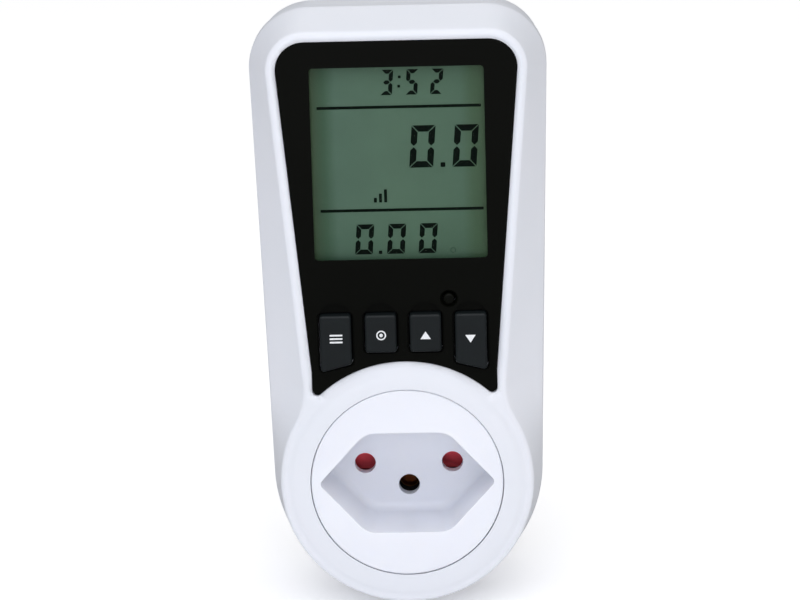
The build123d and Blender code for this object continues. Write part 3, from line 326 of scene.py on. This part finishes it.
metals = {
    # Steel screws with a bright zinc coat: cold grey, slightly cloudy
    "zincPlatedSteel": {
        "colour": "#b9bcc2", "dullColour": "#a3a6ab", "tarnishMm": 2.0,
        "roughness": 0.32, "grainMm": 0.3, "grainStretch": (1, 1, 1)},
    # Cans and tabs drawn from nickelled steel: warm silver with drawing marks
    "drawnNickelSteel": {
        "colour": "#c3c2bc", "dullColour": "#aeada7", "tarnishMm": 2.5,
        "roughness": 0.25, "grainMm": 0.5, "grainStretch": (0.2, 1, 1)},
    # Plastic film with aluminium steamed onto it: a soft even silver
    "metallisedFilm": {
        "colour": "#c5c9c6", "dullColour": "#b7bbb8", "tarnishMm": 6.0,
        "roughness": 0.4, "grainMm": 0.8, "grainStretch": (1, 1, 0.1)},
    # Resistance alloy rolled to strip: brownish grey with rolling lines along it
    "rolledManganin": {
        "colour": "#a28f7e", "dullColour": "#8a7868", "tarnishMm": 3.0,
        "roughness": 0.4, "grainMm": 0.3, "grainStretch": (0.1, 1, 1)},
    # Brass posts with a flash of gold: warm and bright
    "goldFlashedBrass": {
        "colour": "#d8b25a", "dullColour": "#c8a24c", "tarnishMm": 1.5,
        "roughness": 0.25, "grainMm": 0.2, "grainStretch": (1, 0.1, 1)},
    # Spring wire as it leaves the coiler: grey with a slight oil dark tone
    "coiledSpringSteel": {
        "colour": "#a9abae", "dullColour": "#8d8f92", "tarnishMm": 1.0,
        "roughness": 0.3, "grainMm": 0.2, "grainStretch": (1, 1, 1)},
    # Phosphor bronze stamped and bent to shape: reddish brass tone
    "stampedPhosphorBronze": {
        "colour": "#c08a58", "dullColour": "#a6744a", "tarnishMm": 2.0,
        "roughness": 0.3, "grainMm": 0.3, "grainStretch": (1, 0.1, 1)},
    # Brass strip stamped flat: yellow with rolling lines up its length
    "stampedBrass": {
        "colour": "#cda75c", "dullColour": "#b8924b", "tarnishMm": 4.0,
        "roughness": 0.34, "grainMm": 0.4, "grainStretch": (1, 1, 0.1)},
    # Brass turned on a lathe: pale yellow, bright, with fine turning rings round it
    "turnedBrass": {
        "colour": "#d6bb78", "dullColour": "#c6a964", "tarnishMm": 5.0,
        "roughness": 0.22, "grainMm": 0.25, "grainStretch": (0.1, 1, 0.1)},
}
boards = {
    # Glass cloth in epoxy under a green solder mask: glossy mid green
    "maskedGlassEpoxy": {
        "colour": "#0f4a26", "deepColour": "#0c3f20", "trackColour": "#1c6b3a",
        "roughness": 0.4, "ior": 1.5, "weaveMm": 0.5, "weaveWander": 0.5, "weaveStrength": 0.1,
        "weaveHeightMm": 0.02, "trackMm": 9.0, "trackShare": 0.08},
}
cells = {
    # Glass, crystal and polariser in one stack over a silvered film: grey green and matt
    "laminatedCrystalCell": {
        "bands": [(0.0, "#475c42"), (0.03, "#435b45"), (0.075, "#415e49"), (0.14, "#536f5e"),
                  (0.5, "#54705d"), (0.86, "#516d5a"), (0.925, "#49634b"), (1.0, "#496147")],
        # ends: painted shade, darker towards the bottom and the top of the cell
        "ends": [(0.0, "#eef5f0"), (0.17, "#fbfdfb"), (0.35, "#ffffff"), (0.85, "#ffffff"),
                 (1.0, "#f0f3ef")],
        "halfWidthMm": 18.35, "lowMm": 49.1, "highMm": 90.5, "haze": 0.04, "hazeMm": 9.0,
        "hazeReach": (0.3, 0.7), "roughness": 0.3, "ior": 1.52, "specular": 0.25},
}
made = {name: mouldedPlastic(name, look) for name, look in plastics.items()}
made.update({name: metalFinish(name, look) for name, look in metals.items()})
made.update({name: boardLaminate(name, look) for name, look in boards.items()})
made.update({name: crystalCell(name, look) for name, look in cells.items()})
print("stage: materials made,", len(made))

finishOfNodes = {
    "mouldedWhiteAbs": "front_housing rear_housing",
    "mouldedBrightAbs": "socket_insert",
    "mouldedGlossBlackAbs": "display_panel reset_button",
    "mouldedSatinBlackAbs": "function_button cost_button up_button down_button",
    "cutClearAcrylic": "display_window",
    "laminatedCrystalCell": "lcd_glass",
    "mouldedWhiteStyrene": "lcd_holder",
    "metallisedFilm": "lcd_reflector",
    "layeredGreySilicone": "contact_rubbers",
    "maskedGlassEpoxy": "display_board power_board",
    "zincPlatedSteel": "housing_screws board_screws power_board_screws carrier_screws",
    "curedBlackEpoxy": "controller_blob metering_chip rectifier_diodes",
    "drawnNickelSteel": "quartz_crystal battery_tabs",
    "mouldedBlackNylon": "switch_bodies link_header",
    "mouldedGreyAcetal": "function_plunger cost_plunger up_plunger down_plunger reset_plunger",
    "mouldedYellowPolyester": "mains_capacitor",
    "shrunkNavyVinyl": "storage_capacitor",
    "dippedBlueEpoxy": "varistor",
    "bakedGreenCement": "fusible_resistor",
    "rolledManganin": "shunt",
    "shrunkGreenFilm": "backup_battery",
    "goldFlashedBrass": "link_pins",
    "mouldedRedNylon": "shutter",
    "coiledSpringSteel": "shutter_spring",
    "mouldedFilledNylon": "contact_carrier pin_sleeves",
    "stampedPhosphorBronze": "live_contact neutral_contact earth_contact",
    "stampedBrass": "live_bar load_bar neutral_bar earth_bar",
    "turnedBrass": "live_pin neutral_pin earth_pin",
    "extrudedBrownVinyl": "live_wire load_wire",
    "extrudedBlueVinyl": "neutral_wire",
}
for finish, names in finishOfNodes.items():
    for name in names.split():
        nodes[name].data.materials.clear()
        nodes[name].data.materials.append(made[finish])
print("stage: solids dressed")


# Tools for modelling by hand

craft = {"weldMm": 0.001, "roundingSteps": 3}


def rectangle(width, height):
    # Corners round the middle, anticlockwise as seen from the front.
    x, z = width / 2, height / 2
    return [(-x, -z), (x, -z), (x, z), (-x, z)]


def chooseOnly(piece):
    bpy.ops.object.select_all(action="DESELECT")
    piece.select_set(True)
    bpy.context.view_layer.objects.active = piece


def settle(piece):
    chooseOnly(piece)
    bpy.ops.object.transform_apply(location=True, rotation=True, scale=True)
    return piece


def choosePoints(piece, chosen):
    # Enters edit mode with only the points that the test picks.
    chooseOnly(piece)
    bpy.ops.object.mode_set(mode="EDIT")
    bpy.ops.mesh.select_mode(type="VERT")
    bpy.ops.mesh.select_all(action="DESELECT")
    bpy.ops.object.mode_set(mode="OBJECT")
    for point in piece.data.vertices:
        point.select = chosen(point)
    bpy.ops.object.mode_set(mode="EDIT")


def thicken(piece, thickness):
    chooseOnly(piece)
    film = piece.modifiers.new("film", "SOLIDIFY")
    film.thickness = thickness * mm
    film.offset = 0
    bpy.ops.object.modifier_apply(modifier=film.name)
    return piece


def joined(name, pieces):
    bpy.ops.object.select_all(action="DESELECT")
    for piece in pieces:
        piece.select_set(True)
    bpy.context.view_layer.objects.active = pieces[0]
    if len(pieces) > 1:
        bpy.ops.object.join()
    whole = bpy.context.view_layer.objects.active
    whole.name = name
    return whole


def copyAt(piece, place, turn=0.0):
    twin = piece.copy()
    twin.data = piece.data.copy()
    bpy.context.scene.collection.objects.link(twin)
    twin.matrix_world = Matrix.Translation(Vector(place) * mm) @ Matrix.Rotation(turn, 4, "Y")
    return settle(twin)


def finishPiece(piece, body, finish):
    piece.data.materials.clear()
    piece.data.materials.append(made[finish])
    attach(piece, body)


def weld(piece):
    # Enters edit mode with all of the piece chosen and its loose seams merged.
    chooseOnly(piece)
    bpy.ops.object.mode_set(mode="EDIT")
    bpy.ops.mesh.select_all(action="SELECT")
    bpy.ops.mesh.remove_doubles(threshold=craft["weldMm"] * mm)


def faceFront(piece):
    # Merged and turned so that every face points outwards.
    weld(piece)
    bpy.ops.mesh.normals_make_consistent(inside=False)
    bpy.ops.object.mode_set(mode="OBJECT")
    return piece


def cutFilm(corners, thickness, place=(0, 0, 0), rounding=0.0):
    # A disc with one point for each corner: each point is moved to its corner, the corners are
    # rounded where asked, and the sheet gets its thickness. Corners run anticlockwise as seen from
    # the front.
    x, depth, z = place
    bpy.ops.object.select_all(action="DESELECT")
    bpy.ops.mesh.primitive_circle_add(vertices=len(corners), radius=mm, fill_type="NGON",
                                      rotation=(pi / 2, 0, 0),
                                      location=(x * mm, depth * mm, z * mm))
    film = settle(bpy.context.active_object)
    centre = Vector((x, depth, z)) * mm
    for index, (cornerX, cornerZ) in enumerate(corners):
        goal = centre + Vector((cornerX, 0, cornerZ)) * mm
        choosePoints(film, lambda point: point.index == index)
        bpy.ops.transform.translate(value=goal - film.data.vertices[index].co)
        bpy.ops.object.mode_set(mode="OBJECT")
    if rounding:
        choosePoints(film, lambda point: True)
        bpy.ops.mesh.bevel(offset=rounding * mm, segments=craft["roundingSteps"], affect="VERTICES")
        bpy.ops.object.mode_set(mode="OBJECT")
    return faceFront(thicken(film, thickness))


shading = {"smoothUnder": 28, "wideMm2": 30, "samePlane": 0.9999995, "areaWeight": 100}


def chooseFlats(piece):
    # Selects the faces that lie in one plane with their neighbours over a wide area.
    shape = bmesh.new()
    shape.from_mesh(piece.data)
    seen = set()
    for first in shape.faces:
        if first.index in seen:
            continue
        seen.add(first.index)
        plane, area, waiting = [first], 0.0, [first]
        while waiting:
            face = waiting.pop()
            area += face.calc_area()
            for side in face.edges:
                for near in side.link_faces:
                    alike = near.normal.dot(first.normal) > shading["samePlane"]
                    if alike and near.index not in seen:
                        seen.add(near.index)
                        plane.append(near)
                        waiting.append(near)
        for face in plane:
            face.select_set(area > shading["wideMm2"] * mm * mm)
    shape.to_mesh(piece.data)
    shape.free()


def smoothTwin(node, body, finish):
    # A merged copy of a solid's skin, so that its curved faces shade as one and its wide flat faces
    # keep their own shading up to their corners.
    twin = bpy.data.objects.new(node + "Skin", nodes[node].data.copy())
    bpy.context.scene.collection.objects.link(twin)
    weld(twin)
    bpy.ops.object.mode_set(mode="OBJECT")
    bpy.ops.object.shade_smooth_by_angle(angle=radians(shading["smoothUnder"]))
    chooseFlats(twin)
    bpy.ops.object.mode_set(mode="EDIT")
    bpy.ops.mesh.select_mode(type="FACE")
    bpy.ops.mesh.mod_weighted_strength(set=True, face_strength="STRONG")
    bpy.ops.object.mode_set(mode="OBJECT")
    level = twin.modifiers.new("level", "WEIGHTED_NORMAL")
    level.use_face_influence = True
    level.keep_sharp = True
    level.weight = shading["areaWeight"]
    bpy.ops.object.modifier_apply(modifier=level.name)
    finishPiece(twin, body, finish)
    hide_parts(node)
    return twin


# Smooth skins of the pieces that show
skins = {
    "front_housing": ("housing", "housing_white", "mouldedWhiteAbs"),
    "rear_housing": ("housing", "housing_white", "mouldedWhiteAbs"),
    "socket_insert": ("housing", "housing_white", "mouldedBrightAbs"),
    "function_button": ("function_button", "key_black", "mouldedSatinBlackAbs"),
    "cost_button": ("cost_button", "key_black", "mouldedSatinBlackAbs"),
    "up_button": ("up_button", "key_black", "mouldedSatinBlackAbs"),
    "down_button": ("down_button", "key_black", "mouldedSatinBlackAbs"),
    "reset_button": ("reset_button", "key_black", "mouldedGlossBlackAbs"),
    "shutter": ("shutter", "shutter_red", "mouldedRedNylon"),
    "live_pin": ("housing", "pin_brass", "turnedBrass"),
    "neutral_pin": ("housing", "pin_brass", "turnedBrass"),
    "earth_pin": ("housing", "pin_brass", "turnedBrass"),
    "pin_sleeves": ("housing", "carrier_dark", "mouldedFilledNylon"),
    "housing_screws": ("housing", "screw_steel", "zincPlatedSteel"),
}
for node, (body, slot, finish) in skins.items():
    smoothTwin(node, body, finish)

# The spring is pressed together as the shutter rises under it; here it only gets a smooth skin
# of its own, and nothing reads the joint or how far it is pressed
spring = {"node": "shutter_spring", "joint": "shutter_lift", "pressedTo": 0.41}
coil = smoothTwin(spring["node"], "housing", "coiledSpringSteel")
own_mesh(coil)
print("stage: skins smoothed")


# Display figures, each a set of bars with mitred and pointed ends, in a film just in front of the
# cell. A figure's place is the left corner of its foot. A figure has up to seven strokes.
display = {
    "layer": -49.02,
    "film": 0.03,
    "slant": 0.08,
    "dotRoundingShare": 0.35,
    "figures": {
        "clockFigures": {"height": 5.4, "width": 2.5, "stroke": 0.86, "seam": 0.1,
                         "rows": [("3", -3.55, 84.15), ("5", 1.75, 84.15), ("2", 6.92, 84.15)],
                         "dots": [(0.6, 87.97), (0.43, 85.99)], "dotSize": 0.58},
        "powerFigures": {"height": 9.05, "width": 5.04, "stroke": 1.36, "seam": 0.13,
                         "rows": [("0", 2.17, 68.5), ("0", 11.25, 68.5)],
                         "dots": [(9.27, 69.02)], "dotSize": 1.0},
        "costFigures": {"height": 6.5, "width": 3.73, "stroke": 1.04, "seam": 0.1,
                        "rows": [("0", -9.77, 49.95), ("0", -3.02, 49.95), ("0", 3.65, 49.95)],
                        "dots": [(-4.37, 50.32)], "dotSize": 0.72},
    },
    "strokesOf": {
        "0": "top upperLeft upperRight lowerLeft lowerRight foot",
        "2": "top upperRight middle lowerLeft foot",
        "3": "top upperRight middle lowerRight foot",
        "5": "top upperLeft middle lowerRight foot"},
    "rules": [(-16.92, 17.52, 81.6), (-16.78, 17.61, 59.47)],
    "ruleWidth": 0.62,
    "ruleRounding": 0.12,
}


def strokeOutlines(plan):
    # The four bar shapes of a figure, round their own middles, leaning with the display's slant.
    half, full = plan["stroke"] / 2, plan["stroke"]
    cap = plan["width"] / 2 - plan["seam"]
    bar = plan["width"] / 2 - half - plan["seam"]
    post = (plan["height"] / 2 - half - 2 * plan["seam"]) / 2 + half / 2
    shapes = {
        "cap": [(-cap, half), (full - cap, -half), (cap - full, -half), (cap, half)],
        "middle": [(-bar, 0), (half - bar, -half), (bar - half, -half),
                   (bar, 0), (bar - half, half), (half - bar, half)],
        "left": [(-half, post), (-half, half - post), (0, -post), (half, half - post),
                 (half, post - full)],
        "right": [(half, post), (-half, post - full), (-half, half - post), (0, -post),
                  (half, half - post)],
    }
    lean = display["slant"]
    leaning = {name: [(x + lean * z, z) for x, z in corners] for name, corners in shapes.items()}
    return leaning, post


def displayFigures(name, plan):
    outlines, post = strokeOutlines(plan)
    masters = {shape: cutFilm(corners, display["film"]) for shape, corners in outlines.items()}
    width, height, half = plan["width"], plan["height"], plan["stroke"] / 2
    high, low = height - plan["seam"] - post, plan["seam"] + post
    strokes = {
        "top": ("cap", width / 2, height - half, 0), "foot": ("cap", width / 2, half, pi),
        "middle": ("middle", width / 2, height / 2, 0),
        "upperLeft": ("left", half, high, 0), "lowerRight": ("left", width - half, low, pi),
        "upperRight": ("right", width - half, high, 0), "lowerLeft": ("right", half, low, pi),
    }
    pieces = []
    for figure, left, foot in plan["rows"]:
        for stroke in display["strokesOf"][figure].split():
            shape, x, z, turn = strokes[stroke]
            place = (left + x + display["slant"] * z, display["layer"], foot + z)
            pieces.append(copyAt(masters[shape], place, turn))
    size = plan["dotSize"]
    for x, z in plan["dots"]:
        pieces.append(cutFilm(rectangle(size, size), display["film"], (x, display["layer"], z),
                              size / 2 * display["dotRoundingShare"]))
    for master in masters.values():
        bpy.data.objects.remove(master)
    finishPiece(joined(name, pieces), "housing", "switchedDarkCrystal")


for name, plan in display["figures"].items():
    displayFigures(name, plan)

rules = [cutFilm(rectangle(right - left, display["ruleWidth"]), display["film"],
                 ((left + right) / 2, display["layer"], z), display["ruleRounding"])
         for left, right, z in display["rules"]]
finishPiece(joined("displayRules", rules), "housing", "switchedDarkCrystal")
print("stage: display figures set")


# Plain marks: a level sign and a coin on the display, and a sign on each key
marks = {
    "keyFace": -52.3,
    "proud": 0.002,
    "ink": 0.03,
    "rounding": 0.06,
    "ringPoints": 40,
    "level": {"place": (-5.45, 61.15), "heights": (1.0, 1.9, 2.8), "bar": 0.62, "pitch": 1.08},
    "smallCoin": {"place": (11.0, 50.5), "radius": 0.6, "ring": 0.16},
    "menu": {"place": (-14.23, 32.4), "width": 2.7, "bar": 0.36, "pitch": 0.76},
    "coin": {"place": (-4.65, 33.0), "radius": 1.05, "ring": 0.28, "middle": 0.38},
    "arrow": {"up": (4.75, 32.85), "down": (14.25, 31.9), "width": 2.2, "height": 1.7},
}


def inkBar(x, z, width, height, depth):
    return cutFilm(rectangle(width, height), marks["ink"], (x, depth, z), marks["rounding"])


def inkDisc(x, z, radius, depth, ring=0.0):
    # A disc, or a ring where the disc's inset middle is taken out.
    bpy.ops.object.select_all(action="DESELECT")
    bpy.ops.mesh.primitive_circle_add(vertices=marks["ringPoints"], radius=radius * mm,
                                      fill_type="NGON", rotation=(pi / 2, 0, 0),
                                      location=(x * mm, depth * mm, z * mm))
    disc = settle(bpy.context.active_object)
    if ring:
        bpy.ops.object.mode_set(mode="EDIT")
        bpy.ops.mesh.select_all(action="SELECT")
        bpy.ops.mesh.inset(thickness=ring * mm)
        bpy.ops.mesh.delete(type="FACE")
        bpy.ops.object.mode_set(mode="OBJECT")
    return faceFront(thicken(disc, marks["ink"]))


def inkArrow(place, depth, upward):
    half, rise = marks["arrow"]["width"] / 2, marks["arrow"]["height"] / 2
    raised = [(-half, -rise), (half, -rise), (0, rise)]
    lowered = [(-half, rise), (0, -rise), (half, rise)]
    return cutFilm(raised if upward else lowered, marks["ink"], (place[0], depth, place[1]),
                   marks["rounding"])


level = marks["level"]
bars = [inkBar(level["place"][0] + step * level["pitch"] + level["bar"] / 2,
               level["place"][1] + height / 2, level["bar"], height, display["layer"])
        for step, height in enumerate(level["heights"])]
finishPiece(joined("levelSign", bars), "housing", "switchedDarkCrystal")
small = marks["smallCoin"]
ring = inkDisc(*small["place"], small["radius"], display["layer"], small["ring"])
finishPiece(joined("coinSign", [ring]), "housing", "switchedFaintCrystal")

onKeys = marks["keyFace"] - marks["proud"] + marks["ink"] / 2
menu, coin, arrow = marks["menu"], marks["coin"], marks["arrow"]
bars = [inkBar(menu["place"][0], menu["place"][1] + row * menu["pitch"], menu["width"],
               menu["bar"], onKeys) for row in (-1, 0, 1)]
keyMarks = {
    "function": bars,
    "cost": [inkDisc(*coin["place"], coin["radius"], onKeys, coin["ring"]),
             inkDisc(*coin["place"], coin["middle"], onKeys)],
    "up": [inkArrow(arrow["up"], onKeys, True)],
    "down": [inkArrow(arrow["down"], onKeys, False)],
}
for key, pieces in keyMarks.items():
    finishPiece(joined(key + "Mark", pieces), key + "_button", "printedWhiteInk")
print("stage: signs set")


# Floor, light and camera
stage = {
    "floorZ": cadBox[0].z,
    "floorSize": 8.0,
    "floorColour": "#f9f9fa",
    "floorRoughness": 0.9,
    "floorGlow": 0.2,          # a light table: it shines a little by itself
    "worldColour": "#ffffff",
    "worldStrength": 0.2,
    "ceiling": {"strength": 1.8, "spread": 100, "colour": "#ffffff"},
    "softboxes": {
        "left": {"place": (-1.1, -0.75, 0.7), "size": 1.2, "power": 2.0, "colour": "#eef4ff"},
        "right": {"place": (1.1, -0.75, 0.7), "size": 1.2, "power": 2.0, "colour": "#fff9f2"},
        "front": {"place": (0, -1.6, 0.45), "size": 0.9, "power": 6.6, "colour": "#f6f8ff"},
        "upper": {"place": (0, -1.0, 1.25), "size": 0.9, "power": 3.9, "colour": "#f6f8ff"},
    },
    "aim": (0, -0.03, 0.03),
    "camera": {"place": (0.0234645, -0.8247302, 0.2422633), "elevation": 14.62, "yaw": 1.7733,
               "roll": -1.6035, "lens": 170.22, "film": 36, "nearest": 0.05},
}
bpy.ops.object.select_all(action="DESELECT")
bpy.ops.mesh.primitive_plane_add(size=stage["floorSize"], location=(0, 0, stage["floorZ"]))
floor = bpy.context.active_object
floor.name = "paleFloor"
floor.visible_glossy = False     # black plastic would show it as a grey veil
floorPaint, floorTree = newMaterial("paleUncoatedPaper")
floorShader = addNode(floorTree, "ShaderNodeBsdfPrincipled",
                      {"Base Color": linearColour(stage["floorColour"]),
                       "Roughness": stage["floorRoughness"],
                       "Emission Color": linearColour(stage["floorColour"]),
                       "Emission Strength": stage["floorGlow"]})
addNode(floorTree, "ShaderNodeOutputMaterial", links={"Surface": floorShader.outputs[0]})
floor.data.materials.append(floorPaint)

world = bpy.data.worlds.new("softRoom")
bpy.context.scene.world = world
world.use_nodes = True
sky = world.node_tree.nodes["Background"]
sky.inputs["Color"].default_value = linearColour(stage["worldColour"])
sky.inputs["Strength"].default_value = stage["worldStrength"]

ceiling = bpy.data.lights.new("whiteCeiling", "SUN")
ceiling.energy = stage["ceiling"]["strength"]
ceiling.angle = radians(stage["ceiling"]["spread"])
ceiling.color = linearColour(stage["ceiling"]["colour"])[:3]
bpy.context.scene.collection.objects.link(bpy.data.objects.new("whiteCeiling", ceiling))

for name, plan in stage["softboxes"].items():
    lamp = bpy.data.lights.new(name + "Softbox", "AREA")
    lamp.size = plan["size"]
    lamp.energy = plan["power"]
    lamp.color = linearColour(plan["colour"])[:3]
    holder = bpy.data.objects.new(name + "Softbox", lamp)
    bpy.context.scene.collection.objects.link(holder)
    holder.location = plan["place"]
    sight = Vector(stage["aim"]) - Vector(plan["place"])
    holder.rotation_euler = sight.to_track_quat("-Z", "Y").to_euler()

view = stage["camera"]
lens = bpy.data.cameras.new("photoCamera")
lens.lens = view["lens"]
lens.sensor_width = view["film"]
lens.clip_start = view["nearest"]
camera = bpy.data.objects.new("photoCamera", lens)
bpy.context.scene.collection.objects.link(camera)
camera.matrix_world = (Matrix.Translation(Vector(view["place"]))
                       @ Matrix.Rotation(radians(view["yaw"]), 4, "Z")
                       @ Matrix.Rotation(radians(90 - view["elevation"]), 4, "X")
                       @ Matrix.Rotation(radians(view["roll"]), 4, "Z"))
bpy.context.scene.camera = camera
bpy.context.scene.view_settings.view_transform = "Standard"
print("stage: floor, light and camera set")
